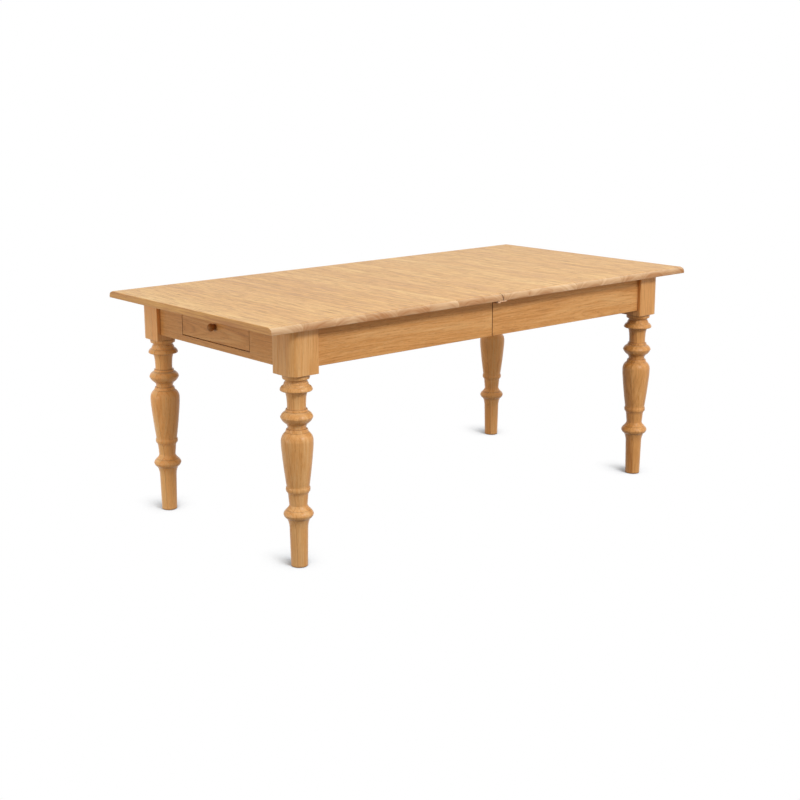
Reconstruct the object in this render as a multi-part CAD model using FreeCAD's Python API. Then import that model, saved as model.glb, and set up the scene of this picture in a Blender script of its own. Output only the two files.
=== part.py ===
import FreeCAD, Part
import math
import os

# Centre-opening extending dining table on four turned legs, with a drawer in one end.
# Millimetres. +X along the table, the drawer end at -X, the front long side at -Y, +Z up.
# Origin: on the floor under the middle of the closed table.
# Every piece is built for the +X end and the +Y side, then mirrored to its own place.

V = FreeCAD.Vector

# --- Driving dimensions -----------------------------------------------------------------------

# Table top: two halves that meet at mid length.
TOP_LENGTH = 1850.0
TOP_WIDTH = 930.0
TABLE_HEIGHT = 770.0
TOP_THICKNESS = 22.0
TOP_SEAM_GAP = 0.2
MOULDING_RADIUS = 15.0
MOULDING_STEP = 1.6
LIP_ROUNDING = 1.2
END_ARRIS = 2.5
SEAM_ARRIS = 0.5

# Frame: leg blocks and rails.
END_OVERHANG = 96.0
SIDE_OVERHANG = 36.0
BLOCK_SIZE = 100.0
BLOCK_DROP = 20.0
BLOCK_CORNER_RADIUS = 28.0
BLOCK_ARRIS = 3.0
BLOCK_INNER_CHAMFER = 12.0
RAIL_HEIGHT = 124.0
RAIL_THICKNESS = 22.0
RAIL_RECESS = 14.0
RAIL_SEAM_GAP = 1.2
RAIL_ARRIS = 1.5

# Turned leg: the radii of its members, from the block down to the floor.
COLLAR_RADIUS = 41.0
UPPER_COVE_RADIUS = 33.6
UPPER_FILLET_RADIUS = 36.2
UPPER_RING_RADIUS = 49.7
UPPER_NECK_RADIUS = 29.0
MIDDLE_FILLET_RADIUS = 34.4
MIDDLE_RING_RADIUS = 50.1
LOWER_NECK_RADIUS = 28.5
VASE_FILLET_RADIUS = 35.6
VASE_RADIUS = 49.7
VASE_BASE_RADIUS = 35.6
BEAD_RADIUS = 36.6
WAIST_TOP_RADIUS = 31.0
WAIST_RADIUS = 27.9
FLARE_RADIUS = 37.6
LOWER_RING_RADIUS = 46.6
ANKLE_RADIUS = 28.6
FOOT_RADIUS = 26.0
FOOT_ROUNDING = 2.0
LEDGE = 1.2

# Turned leg: the heights of its members, from the block downwards. The foot takes what is left.
COLLAR_HEIGHT = 14.0
UPPER_COVE_HEIGHT = 9.0
UPPER_FILLET_HEIGHT = 4.5
UPPER_RING_HEIGHT = 26.0
UPPER_NECK_HEIGHT = 54.0
MIDDLE_FILLET_HEIGHT = 6.5
MIDDLE_RING_HEIGHT = 38.0
LOWER_NECK_HEIGHT = 17.0
VASE_FILLET_HEIGHT = 9.0
VASE_SHOULDER_HEIGHT = 27.0
VASE_BODY_HEIGHT = 145.0
BEAD_HEIGHT = 14.0
BEAD_COVE_HEIGHT = 10.0
WAIST_HEIGHT = 34.0
FLARE_HEIGHT = 14.0
LOWER_RING_HEIGHT = 29.0
ANKLE_HEIGHT = 29.0

# Leg fixing: a corner brace and two hanger bolts at each leg.
BRACE_THICKNESS = 30.0
BRACE_HEIGHT = 90.0
BRACE_TOP_GAP = 6.0
BOLT_RADIUS = 4.0
BOLT_SPACING = 44.0
BOLT_IN_LEG = 50.0
BOLT_PAST_NUT = 5.0
WASHER_RADIUS = 11.0
WASHER_THICKNESS = 2.0
NUT_ACROSS_FLATS = 13.0
NUT_HEIGHT = 6.5

# Wood screws: the frame screw holds braces, buttons, kickers and slide bars.
SCREW_LENGTH = 30.0
SCREW_RADIUS = 2.0
SCREW_HEAD_RADIUS = 4.0
SCREW_HEAD_HEIGHT = 2.6
SCREW_POINT = 4.0
SCREW_RECESS_DEPTH = 1.6
SCREW_RECESS_WIDTH = 1.0
SCREW_RECESS_SHARE = 0.6
CATCH_SCREW_LENGTH = 16.0
CATCH_SCREW_RADIUS = 1.6
CATCH_SCREW_HEAD_RADIUS = 3.2
SCREW_IN_BRACE = 14.0
BRACE_SCREW_SPACING = 56.0

# Cross bearers under the slides, with dowels at both ends.
BEARER_THICKNESS = 22.0
BEARER_HEIGHT = 72.0
BEARER_BELOW_SLIDES = 5.0
SEAM_BEARER_OFFSET = 60.0
DOWEL_RADIUS = 4.0
DOWEL_LENGTH = 38.0
DOWEL_IN_RAIL = 12.0
DOWEL_SPACING = 36.0

# Wooden buttons that hold the top to the side rails and the plain end rail.
BUTTON_LENGTH = 40.0
BUTTON_DEPTH = 26.0
BUTTON_HEIGHT = 18.0
BUTTON_TONGUE_DEPTH = 7.0
BUTTON_TONGUE_HEIGHT = 7.4
GROOVE_BELOW_TOP = 9.0
GROOVE_CLEARANCE = 0.3
END_BUTTON_SPACING = 170.0

# Telescopic slides: a bar on each half and a runner that bridges them.
SLIDE_FROM_RAIL = 99.0
SLIDE_HEIGHT = 38.0
SLIDE_BAR_WIDTH = 22.0
SLIDE_BAR_SEAM_GAP = 5.0
SLIDE_BAR_LEG_GAP = 48.0
RUNNER_WIDTH = 24.0
RUNNER_LENGTH = 900.0
TONGUE_REACH = 9.0
TONGUE_ROOT_HEIGHT = 12.0
TONGUE_TIP_HEIGHT = 18.0
SLIDE_CLEARANCE = 0.3
SLIDE_SCREW_INSET = 6.0
SLIDE_SCREW_IN_BAR = 16.0
SLIDE_SCREW_END = 60.0
SLIDE_SCREW_COUNT = 3
STOP_PIN_RADIUS = 3.0
STOP_PIN_INSET = 30.0
STOP_PIN_REACH = 5.0
STOP_SLOT_DEPTH = 6.0
LEAF_LENGTH = 480.0

# Alignment dowels in the seam of the top.
SEAM_DOWEL_RADIUS = 5.0
SEAM_DOWEL_IN = 20.0
SEAM_DOWEL_OUT = 16.0
SEAM_DOWEL_SPACING = 220.0
SEAM_DOWEL_COUNT = 4
SEAM_DOWEL_CLEARANCE = 0.2
SEAM_DOWEL_ROUNDING = 1.5
SEAM_SOCKET_SPARE = 1.0

# Catch under each long edge: a steel tongue on one half in a keeper on the other.
CATCH_INSET = 21.0
CATCH_TONGUE_WIDTH = 20.0
CATCH_TONGUE_THICKNESS = 6.0
CATCH_TONGUE_PLATE = 30.0
CATCH_TONGUE_OUT = 17.0
CATCH_TONGUE_ROUNDING = 4.0
CATCH_SCREW_END = 7.0
CATCH_SCREW_SPACING = 14.0
KEEPER_THICKNESS = 2.0
KEEPER_LENGTH = 12.0
KEEPER_EAR = 8.0
KEEPER_SEAM_INSET = 3.0
CATCH_CLEARANCE = 0.3

# Drawer in the -X end.
RAIL_BESIDE_DRAWER = 139.0
DRAWER_DEPTH = 400.0
DRAWER_SIDE_GAP = 2.6
DRAWER_BOTTOM_GAP = 3.0
DRAWER_TOP_GAP = 1.8
APERTURE_SILL = 20.2
APERTURE_HEAD = 15.0
DRAWER_FRONT_THICKNESS = 20.0
DRAWER_FRONT_ARRIS = 1.0
DRAWER_SIDE_THICKNESS = 12.0
DRAWER_SIDE_HEIGHT = 74.0
DRAWER_BACK_THICKNESS = 12.0
DRAWER_BACK_HOUSING = 4.0
DRAWER_BOTTOM_THICKNESS = 6.0
DRAWER_BOTTOM_ABOVE_EDGE = 8.0
DRAWER_BOTTOM_IN_GROOVE = 5.0
DRAWER_BACK_CLEARANCE = 0.5
DOVETAIL_LENGTH = 14.0
DOVETAIL_COUNT = 3
DOVETAIL_NARROW = 14.0
DOVETAIL_FLARE = 2.2
KNOB_RADIUS = 12.5
KNOB_NECK_RADIUS = 7.5
KNOB_BASE_RADIUS = 9.5
KNOB_BASE_THICKNESS = 2.5
KNOB_WAIST_RADIUS = 6.8
KNOB_LENGTH = 26.5
KNOB_RISE = 8.0
KNOB_SCREW_RADIUS = 2.0
KNOB_SCREW_HEAD_RADIUS = 4.5
KNOB_SCREW_HEAD_HEIGHT = 2.4
KNOB_SCREW_HEAD_ROUNDING = 1.0
KNOB_SCREW_IN_KNOB = 15.0

# Drawer runners and kickers.
DRAWER_RUNNER_LEDGE = 16.0
DRAWER_RUNNER_GUIDE = 22.0
DRAWER_RUNNER_DEPTH = 14.9
DRAWER_RUNNER_HEIGHT = 68.0
DRAWER_RUN_CLEARANCE = 0.3
DRAWER_GUIDE_CLEARANCE = 0.8
KICKER_WIDTH = 18.0
KICKER_OUTSET = 4.0
KICKER_CLEARANCE = 1.3
RUNNER_DOWEL_IN = 11.0
KICKER_SCREW_END = 50.0

# Clearance of a screw, bolt, pin, dowel or panel in its hole or groove.
HOLE_CLEARANCE = 0.05
PANEL_CLEARANCE = 0.1

# --- Places worked out from the driving dimensions ----------------------------------------------

half_length = TOP_LENGTH / 2
half_width = TOP_WIDTH / 2
underside = TABLE_HEIGHT - TOP_THICKNESS
block_out_x = half_length - END_OVERHANG
block_out_y = half_width - SIDE_OVERHANG
block_in_x = block_out_x - BLOCK_SIZE
block_in_y = block_out_y - BLOCK_SIZE
leg_x = block_out_x - BLOCK_SIZE / 2
leg_y = block_out_y - BLOCK_SIZE / 2
rail_out_x = block_out_x - RAIL_RECESS
rail_in_x = rail_out_x - RAIL_THICKNESS
rail_out_y = block_out_y - RAIL_RECESS
rail_in_y = rail_out_y - RAIL_THICKNESS
rail_bottom = underside - RAIL_HEIGHT
block_bottom = rail_bottom - BLOCK_DROP

# Brace: its two faces are the lines x + y = brace_face and x + y = brace_back.
brace_face = block_in_x + block_in_y + BLOCK_INNER_CHAMFER
brace_back = brace_face - BRACE_THICKNESS * math.sqrt(2)
brace_top = underside - BRACE_TOP_GAP
brace_bottom = brace_top - BRACE_HEIGHT
brace_middle = (brace_top + brace_bottom) / 2

slide_bottom = underside - SLIDE_HEIGHT
SLIDE_CENTRE = rail_in_y - SLIDE_FROM_RAIL
SLIDE_BAR_LENGTH = block_in_x - SLIDE_BAR_LEG_GAP - SLIDE_BAR_SEAM_GAP
bar_in_y = SLIDE_CENTRE - SLIDE_BAR_WIDTH / 2
bar_out_y = SLIDE_CENTRE + SLIDE_BAR_WIDTH / 2
runner_out_y = bar_in_y - SLIDE_CLEARANCE
runner_in_y = runner_out_y - RUNNER_WIDTH
slide_middle = underside - SLIDE_HEIGHT / 2
stop_pin_x = SLIDE_BAR_SEAM_GAP + STOP_PIN_INSET

bearer_top = slide_bottom - BEARER_BELOW_SLIDES
bearer_bottom = bearer_top - BEARER_HEIGHT
bearer_middle = (bearer_top + bearer_bottom) / 2
mid_bearer_out = rail_out_x - DRAWER_DEPTH - DRAWER_BACK_CLEARANCE
mid_bearer_in = mid_bearer_out - BEARER_THICKNESS
seam_bearer_in = SEAM_BEARER_OFFSET
seam_bearer_out = seam_bearer_in + BEARER_THICKNESS

DRAWER_WIDTH = 2 * (block_in_y - RAIL_BESIDE_DRAWER)
drawer_half = DRAWER_WIDTH / 2
aperture_half = drawer_half + DRAWER_SIDE_GAP
aperture_bottom = rail_bottom + APERTURE_SILL
aperture_top = underside - APERTURE_HEAD
drawer_bottom_z = aperture_bottom + DRAWER_BOTTOM_GAP
drawer_top_z = aperture_top - DRAWER_TOP_GAP
drawer_front_in = rail_out_x - DRAWER_FRONT_THICKNESS
drawer_back_x = rail_out_x - DRAWER_DEPTH
drawer_side_top = drawer_bottom_z + DRAWER_SIDE_HEIGHT
drawer_side_in = drawer_half - DRAWER_SIDE_THICKNESS
panel_bottom = drawer_bottom_z + DRAWER_BOTTOM_ABOVE_EDGE
panel_top = panel_bottom + DRAWER_BOTTOM_THICKNESS
knob_z = (drawer_bottom_z + drawer_top_z) / 2 + KNOB_RISE
ledge_top = drawer_bottom_z - DRAWER_RUN_CLEARANCE
guide_in_y = drawer_half + DRAWER_GUIDE_CLEARANCE

catch_y = half_width - CATCH_INSET


# --- Small helpers ------------------------------------------------------------------------------

def box(x0, x1, y0, y1, z0, z1):
    return Part.makeBox(x1 - x0, y1 - y0, z1 - z0, V(x0, y0, z0))


def mirror_x(shape):
    return shape.mirror(V(0, 0, 0), V(1, 0, 0))


def mirror_y(shape):
    return shape.mirror(V(0, 0, 0), V(0, 1, 0))


def both_sides(shapes):
    return shapes + [mirror_y(shape) for shape in shapes]


def cylinder(radius, start, direction, length):
    return Part.makeCylinder(radius, length, start, direction)


def aimed(shape, start, direction):
    """Turn a shape built along +Z from the origin towards a direction, and move it to start."""
    result = shape.copy()
    result.Placement = FreeCAD.Placement(start, FreeCAD.Rotation(V(0, 0, 1), direction))
    return result


def prism_x(points, x0, x1):
    """A prism along X of an outline given as (y, z) points."""
    outline = Part.makePolygon([V(x0, y, z) for y, z in points + points[:1]])
    return Part.Face(outline).extrude(V(x1 - x0, 0, 0))


def prism_y(points, y0, y1):
    """A prism along Y of an outline given as (x, z) points."""
    outline = Part.makePolygon([V(x, y0, z) for x, z in points + points[:1]])
    return Part.Face(outline).extrude(V(0, y1 - y0, 0))


def prism_z(points, z0, z1):
    """A prism along Z of an outline given as (x, y) points."""
    outline = Part.makePolygon([V(x, y, z0) for x, y in points + points[:1]])
    return Part.Face(outline).extrude(V(0, 0, z1 - z0))


def edges_where(shape, test):
    """The edges whose two ends and middle all pass the test."""
    chosen = []
    for edge in shape.Edges:
        ends = [vertex.Point for vertex in edge.Vertexes]
        if all(test(point) for point in ends + [edge.CenterOfMass]):
            chosen.append(edge)
    return chosen


def rounded(shape, radius, test):
    return shape.makeFillet(radius, edges_where(shape, test))


def rounded_along(shape, radius, direction, test):
    """Round the straight edges along a direction whose middle passes the test."""
    chosen = []
    for edge in shape.Edges:
        ends = [vertex.Point for vertex in edge.Vertexes]
        if len(ends) == 2 and near((ends[1] - ends[0]).cross(direction).Length, 0):
            if test(edge.CenterOfMass):
                chosen.append(edge)
    return shape.makeFillet(radius, chosen)


def near(value, target):
    return abs(value - target) < 0.001


def spaced(count, first, last):
    step = (last - first) / (count - 1)
    return [first + step * index for index in range(count)]


def save(node, shapes):
    group = shapes if isinstance(shapes, list) else [shapes]
    solids = [solid for shape in group for solid in shape.Solids]
    result = solids[0] if len(solids) == 1 else Part.makeCompound(solids)
    result.exportStep("parts/" + node + ".step")


# --- Fasteners ----------------------------------------------------------------------------------

def screw_outline(length, radius, head_radius, head_height, growth):
    """Half outline of a countersunk screw along +Z, its flat head at the origin."""
    r = radius + growth
    return [V(0, 0, 0),
            V(head_radius + growth, 0, 0),
            V(head_radius + growth, 0, growth),
            V(r, 0, head_height + growth),
            V(r, 0, length - SCREW_POINT),
            V(0, 0, length + growth)]


def turned_solid(points):
    """The solid that a closed half outline makes when it turns about Z."""
    outline = Part.makePolygon(points + points[:1])
    return Part.Face(outline).revolve(V(0, 0, 0), V(0, 0, 1), 360)


def wood_screw(length, radius, head_radius, head_height):
    body = turned_solid(screw_outline(length, radius, head_radius, head_height, 0))
    arm = head_radius * SCREW_RECESS_SHARE
    half = SCREW_RECESS_WIDTH / 2
    recess = box(-arm, arm, -half, half, 0, SCREW_RECESS_DEPTH)
    cross = box(-half, half, -arm, arm, 0, SCREW_RECESS_DEPTH)
    return body.cut([recess, cross])


def screw_hole(length, radius, head_radius, head_height, open_depth):
    """The hole that a screw needs, with a straight counterbore of open_depth behind its head."""
    hole = turned_solid(screw_outline(length, radius, head_radius, head_height, HOLE_CLEARANCE))
    if open_depth > 0:
        bore = cylinder(head_radius + HOLE_CLEARANCE, V(0, 0, 0), V(0, 0, -1), open_depth)
        hole = hole.fuse(bore)
    return hole


FRAME_SCREW = (SCREW_LENGTH, SCREW_RADIUS, SCREW_HEAD_RADIUS, SCREW_HEAD_HEIGHT)
CATCH_SCREW = (CATCH_SCREW_LENGTH, CATCH_SCREW_RADIUS, CATCH_SCREW_HEAD_RADIUS,
               CATCH_SCREW_HEAD_RADIUS - CATCH_SCREW_RADIUS)


def driven(kind, start, direction, open_depth=0):
    """One screw and its hole, driven along direction with its head at start."""
    screw = aimed(wood_screw(*kind), start, direction)
    hole = aimed(screw_hole(*kind, open_depth), start, direction)
    return screw, hole


def dowel(start, direction, length, radius):
    pin = cylinder(radius, start, direction, length)
    hole = cylinder(radius + HOLE_CLEARANCE, start, direction, length)
    return pin, hole


def washer():
    disc = cylinder(WASHER_RADIUS, V(0, 0, 0), V(0, 0, 1), WASHER_THICKNESS)
    return disc.cut(cylinder(BOLT_RADIUS + HOLE_CLEARANCE, V(0, 0, 0), V(0, 0, 1), WASHER_THICKNESS))


def hex_nut():
    corner = NUT_ACROSS_FLATS / math.sqrt(3)
    angles = [math.radians(60 * index) for index in range(6)]
    points = [(corner * math.cos(a), corner * math.sin(a)) for a in angles]
    body = prism_z(points, 0, NUT_HEIGHT)
    return body.cut(cylinder(BOLT_RADIUS + HOLE_CLEARANCE, V(0, 0, 0), V(0, 0, 1), NUT_HEIGHT))


# --- Legs ---------------------------------------------------------------------------------------

def leg_members():
    """The turning from the block down: (height, radius at its lower end, bulge of its outline)."""
    return [
        (COLLAR_HEIGHT, COLLAR_RADIUS, 1.2),
        (0, COLLAR_RADIUS - LEDGE * 1.5, 0),
        (UPPER_COVE_HEIGHT * 0.6, UPPER_COVE_RADIUS, -1.2),
        (UPPER_COVE_HEIGHT * 0.4, UPPER_COVE_RADIUS, -0.5),
        (0, UPPER_FILLET_RADIUS - LEDGE, 0),
        (UPPER_FILLET_HEIGHT, UPPER_FILLET_RADIUS, 0),
        (0, UPPER_FILLET_RADIUS + LEDGE, 0),
        (UPPER_RING_HEIGHT * 0.28, UPPER_FILLET_RADIUS + LEDGE * 3.5, -0.6),
        (UPPER_RING_HEIGHT * 0.45, UPPER_RING_RADIUS, 1.7),
        (UPPER_RING_HEIGHT * 0.17, UPPER_RING_RADIUS - LEDGE * 2.5, 1.2),
        (UPPER_RING_HEIGHT * 0.10, UPPER_FILLET_RADIUS, 0),
        (0, UPPER_FILLET_RADIUS - LEDGE, 0),
        (UPPER_NECK_HEIGHT * 0.44, UPPER_NECK_RADIUS + LEDGE / 2, -1.2),
        (UPPER_NECK_HEIGHT * 0.56, UPPER_NECK_RADIUS, -0.6),
        (0, MIDDLE_FILLET_RADIUS - LEDGE, 0),
        (MIDDLE_FILLET_HEIGHT, MIDDLE_FILLET_RADIUS, 0.3),
        (0, MIDDLE_FILLET_RADIUS - LEDGE, 0),
        (MIDDLE_RING_HEIGHT * 0.47, MIDDLE_RING_RADIUS, 3.2),
        (MIDDLE_RING_HEIGHT * 0.53, MIDDLE_FILLET_RADIUS - LEDGE / 2, 2.4),
        (LOWER_NECK_HEIGHT * 0.65, LOWER_NECK_RADIUS, -1.0),
        (LOWER_NECK_HEIGHT * 0.35, LOWER_NECK_RADIUS, -0.1),
        (0, VASE_FILLET_RADIUS - LEDGE * 2.5, 0),
        (VASE_FILLET_HEIGHT, VASE_FILLET_RADIUS, 0.1),
        (0, VASE_FILLET_RADIUS - LEDGE, 0),
        (VASE_SHOULDER_HEIGHT, VASE_RADIUS, 3.8),
        (VASE_BODY_HEIGHT * 0.17, VASE_RADIUS - LEDGE * 0.7, 0.2),
        (VASE_BODY_HEIGHT * 0.80, VASE_BASE_RADIUS, 0.8),
        (VASE_BODY_HEIGHT * 0.03, VASE_BASE_RADIUS, -0.1),
        (0, BEAD_RADIUS - LEDGE / 3, 0),
        (BEAD_HEIGHT, BEAD_RADIUS, 1.4),
        (0, BEAD_RADIUS - LEDGE, 0),
        (BEAD_COVE_HEIGHT, WAIST_TOP_RADIUS, -0.4),
        (WAIST_HEIGHT, WAIST_RADIUS, 0),
        (FLARE_HEIGHT, FLARE_RADIUS, -1.3),
        (0, FLARE_RADIUS - LEDGE, 0),
        (LOWER_RING_HEIGHT * 0.5, LOWER_RING_RADIUS, 1.8),
        (LOWER_RING_HEIGHT * 0.5, FLARE_RADIUS - LEDGE * 1.6, 2.2),
        (ANKLE_HEIGHT, ANKLE_RADIUS, -1.5),
    ]


def turning():
    """The turned part of a leg about Z, from the floor up into the block."""
    r, z = COLLAR_RADIUS, block_bottom
    edges = []

    def line_to(new_r, new_z):
        edges.append(Part.LineSegment(V(r, 0, z), V(new_r, 0, new_z)).toShape())

    for height, new_r, bulge in leg_members():
        new_z = z - height
        if bulge:
            length = math.hypot(new_r - r, height)
            middle = V((r + new_r) / 2 + bulge * height / length, 0,
                       (z + new_z) / 2 - bulge * (r - new_r) / length)
            edges.append(Part.Arc(V(r, 0, z), middle, V(new_r, 0, new_z)).toShape())
        else:
            line_to(new_r, new_z)
        r, z = new_r, new_z

    line_to(FOOT_RADIUS, FOOT_ROUNDING)
    r, z = FOOT_RADIUS, FOOT_ROUNDING
    diagonal = FOOT_ROUNDING * (1 - math.sqrt(0.5))
    edges.append(Part.Arc(V(r, 0, z), V(r - diagonal, 0, diagonal), V(r - z, 0, 0)).toShape())
    inside = block_bottom + BLOCK_DROP
    rim = [V(FOOT_RADIUS - FOOT_ROUNDING, 0, 0), V(0, 0, 0), V(0, 0, inside),
           V(COLLAR_RADIUS, 0, inside), V(COLLAR_RADIUS, 0, block_bottom)]
    for start, end in zip(rim, rim[1:]):
        edges.append(Part.LineSegment(start, end).toShape())
    return Part.Face(Part.Wire(edges)).revolve(V(0, 0, 0), V(0, 0, 1), 360)


def leg_block():
    """The square block, its outer corner well rounded and its inner corner cut flat."""
    x0, x1, y0, y1 = block_in_x, block_out_x, block_in_y, block_out_y
    chamfer = BLOCK_INNER_CHAMFER
    plan = [(x0 + chamfer, y0), (x1, y0), (x1, y1), (x0, y1), (x0, y0 + chamfer)]
    block = prism_z(plan, block_bottom, underside)
    block = rounded(block, BLOCK_CORNER_RADIUS, lambda p: near(p.x, x1) and near(p.y, y1))
    block = rounded(block, BLOCK_ARRIS,
                    lambda p: (near(p.x, x1) and near(p.y, y0)) or (near(p.x, x0) and near(p.y, y1)))
    return rounded(block, BLOCK_ARRIS / 2, lambda p: near(p.z, block_bottom))


def leg_fixing():
    """Hanger bolts, washers, nuts and the hole of each bolt, for the leg at +X +Y."""
    outward = V(1, 1, 0).normalize()
    to_face = (leg_x + leg_y - brace_face) / 2
    bolts, washers, nuts, holes = [], [], [], []
    stack = BRACE_THICKNESS + WASHER_THICKNESS + NUT_HEIGHT + BOLT_PAST_NUT
    for offset in (-BOLT_SPACING / 2, BOLT_SPACING / 2):
        face = V(leg_x - to_face, leg_y - to_face, brace_middle + offset)
        back = face - outward * BRACE_THICKNESS
        inner_end = face - outward * stack
        bolt_length = stack + BOLT_IN_LEG
        bolts.append(cylinder(BOLT_RADIUS, inner_end, outward, bolt_length))
        holes.append(cylinder(BOLT_RADIUS + HOLE_CLEARANCE, inner_end, outward, bolt_length))
        washers.append(aimed(washer(), back, outward * -1))
        nuts.append(aimed(hex_nut(), back - outward * WASHER_THICKNESS, outward * -1))
    return bolts, washers, nuts, holes


def corner_brace():
    """A diagonal brace between the side rail and the end rail, against the flat of the leg."""
    plan = [(rail_in_x, brace_face - rail_in_x),
            (brace_face - rail_in_y, rail_in_y),
            (brace_back - rail_in_y, rail_in_y),
            (rail_in_x, brace_back - rail_in_x)]
    return prism_z(plan, brace_bottom, brace_top)


def brace_screws():
    """Two screws into the side rail and two into the end rail, with their holes."""
    middle = (brace_face + brace_back) / 2
    pocket = BRACE_THICKNESS
    pairs = []
    for offset in (-BRACE_SCREW_SPACING / 2, BRACE_SCREW_SPACING / 2):
        z = brace_middle + offset
        at_side = V(middle - rail_in_y, rail_in_y - SCREW_IN_BRACE, z)
        at_end = V(rail_in_x - SCREW_IN_BRACE, middle - rail_in_x, z)
        pairs.append(driven(FRAME_SCREW, at_side, V(0, 1, 0), pocket))
        pairs.append(driven(FRAME_SCREW, at_end, V(1, 0, 0), pocket))
    return pairs


# --- Top, rails and bearers ---------------------------------------------------------------------

def half_top():
    """One half of the top, its long edges moulded to a quarter round over a small lip."""
    z1 = TABLE_HEIGHT
    x0 = TOP_SEAM_GAP / 2
    shoulder = half_width - MOULDING_RADIUS
    centre_z = z1 - MOULDING_STEP - MOULDING_RADIUS
    diagonal = MOULDING_RADIUS * math.sqrt(0.5)

    def point(side, y, z):
        return V(x0, side * y, z)

    def long_edge(side):
        """The moulded outline of one long edge, from the top surface to the underside."""
        top = point(side, shoulder, z1)
        step = point(side, shoulder, z1 - MOULDING_STEP)
        crown = point(side, shoulder + diagonal, centre_z + diagonal)
        lip = point(side, half_width, centre_z)
        lip_low = point(side, half_width, underside + LIP_ROUNDING)
        turn = LIP_ROUNDING * (1 - math.sqrt(0.5))
        corner = point(side, half_width - turn, underside + turn)
        under = point(side, half_width - LIP_ROUNDING, underside)
        return [Part.LineSegment(top, step).toShape(),
                Part.Arc(step, crown, lip).toShape(),
                Part.LineSegment(lip, lip_low).toShape(),
                Part.Arc(lip_low, corner, under).toShape()]

    right = long_edge(1)
    left = long_edge(-1)
    under_y = half_width - LIP_ROUNDING
    bottom = Part.LineSegment(point(1, under_y, underside), point(-1, under_y, underside)).toShape()
    surface = Part.LineSegment(point(-1, shoulder, z1), point(1, shoulder, z1)).toShape()
    outline = Part.Wire(right + [bottom] + left[::-1] + [surface])
    moulded = Part.Face(outline).extrude(V(half_length - x0, 0, 0))
    slab = box(x0, half_length, -half_width, half_width, underside, z1)
    across = V(0, 1, 0)
    slab = rounded_along(slab, END_ARRIS, across, lambda p: near(p.x, half_length) and near(p.z, z1))
    slab = rounded_along(slab, END_ARRIS / 2, across,
                         lambda p: near(p.x, half_length) and near(p.z, underside))
    slab = rounded_along(slab, SEAM_ARRIS, across, lambda p: near(p.x, x0) and near(p.z, z1))
    return moulded.common(slab)


def groove_tool_side():
    low = underside - GROOVE_BELOW_TOP - BUTTON_TONGUE_HEIGHT - GROOVE_CLEARANCE
    high = underside - GROOVE_BELOW_TOP + GROOVE_CLEARANCE
    depth = BUTTON_TONGUE_DEPTH + GROOVE_CLEARANCE
    return box(0, block_in_x, rail_in_y, rail_in_y + depth, low, high)


def groove_tool_end():
    low = underside - GROOVE_BELOW_TOP - BUTTON_TONGUE_HEIGHT - GROOVE_CLEARANCE
    high = underside - GROOVE_BELOW_TOP + GROOVE_CLEARANCE
    depth = BUTTON_TONGUE_DEPTH + GROOVE_CLEARANCE
    return box(rail_in_x, rail_in_x + depth, -block_in_y, block_in_y, low, high)


def side_rail():
    seam = RAIL_SEAM_GAP / 2
    rail = box(seam, block_in_x, rail_in_y, rail_out_y, rail_bottom, underside)
    rail = rounded_along(rail, RAIL_ARRIS, V(1, 0, 0), lambda p: near(p.z, rail_bottom))
    rail = rounded_along(rail, RAIL_ARRIS / 2, V(0, 0, 1),
                         lambda p: near(p.x, seam) and near(p.y, rail_out_y))
    return rail.cut(groove_tool_side())


def end_rail():
    rail = box(rail_in_x, rail_out_x, -block_in_y, block_in_y, rail_bottom, underside)
    return rounded_along(rail, RAIL_ARRIS, V(0, 1, 0), lambda p: near(p.z, rail_bottom))


def drawer_end_rail():
    aperture = box(rail_in_x - 1, rail_out_x + 1, -aperture_half, aperture_half,
                   aperture_bottom, aperture_top)
    return end_rail().cut(aperture)


def bearer(x0, x1):
    return box(x0, x1, -rail_in_y, rail_in_y, bearer_bottom, bearer_top)


def bearer_dowels(x0, x1):
    """Two dowels at the +Y end of a bearer, as (dowel, hole) pairs."""
    x = (x0 + x1) / 2
    start_y = rail_in_y + DOWEL_IN_RAIL - DOWEL_LENGTH
    return [dowel(V(x, start_y, bearer_middle + offset), V(0, 1, 0), DOWEL_LENGTH, DOWEL_RADIUS)
            for offset in (-DOWEL_SPACING / 2, DOWEL_SPACING / 2)]


def button_outline(face):
    """A button's outline from the rail's inner face at coordinate face, tongue outwards."""
    tongue_top = underside - GROOVE_BELOW_TOP
    tongue_low = tongue_top - BUTTON_TONGUE_HEIGHT
    low = underside - BUTTON_HEIGHT
    back = face - BUTTON_DEPTH
    tip = face + BUTTON_TONGUE_DEPTH
    seat = face - GROOVE_CLEARANCE
    return [(back, underside), (seat, underside), (seat, tongue_top), (tip, tongue_top),
            (tip, tongue_low), (seat, tongue_low), (seat, low), (back, low)]


def side_buttons():
    """Buttons along the side rail, two between the bearers and one before the brace."""
    gap = mid_bearer_in - seam_bearer_out
    brace_start = brace_back - rail_in_y
    places = [seam_bearer_out + gap / 3, seam_bearer_out + gap * 2 / 3,
              (mid_bearer_out + brace_start) / 2]
    buttons, pairs = [], []
    for x in places:
        half = BUTTON_LENGTH / 2
        buttons.append(prism_x(button_outline(rail_in_y), x - half, x + half))
        start = V(x, rail_in_y - BUTTON_DEPTH / 2, underside - BUTTON_HEIGHT)
        pairs.append(driven(FRAME_SCREW, start, V(0, 0, 1)))
    return buttons, pairs


def end_buttons():
    """Buttons along the plain end rail."""
    buttons, pairs = [], []
    for y in (-END_BUTTON_SPACING, 0, END_BUTTON_SPACING):
        half = BUTTON_LENGTH / 2
        buttons.append(prism_y(button_outline(rail_in_x), y - half, y + half))
        start = V(rail_in_x - BUTTON_DEPTH / 2, y, underside - BUTTON_HEIGHT)
        pairs.append(driven(FRAME_SCREW, start, V(0, 0, 1)))
    return buttons, pairs


# --- Slides -------------------------------------------------------------------------------------

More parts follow.
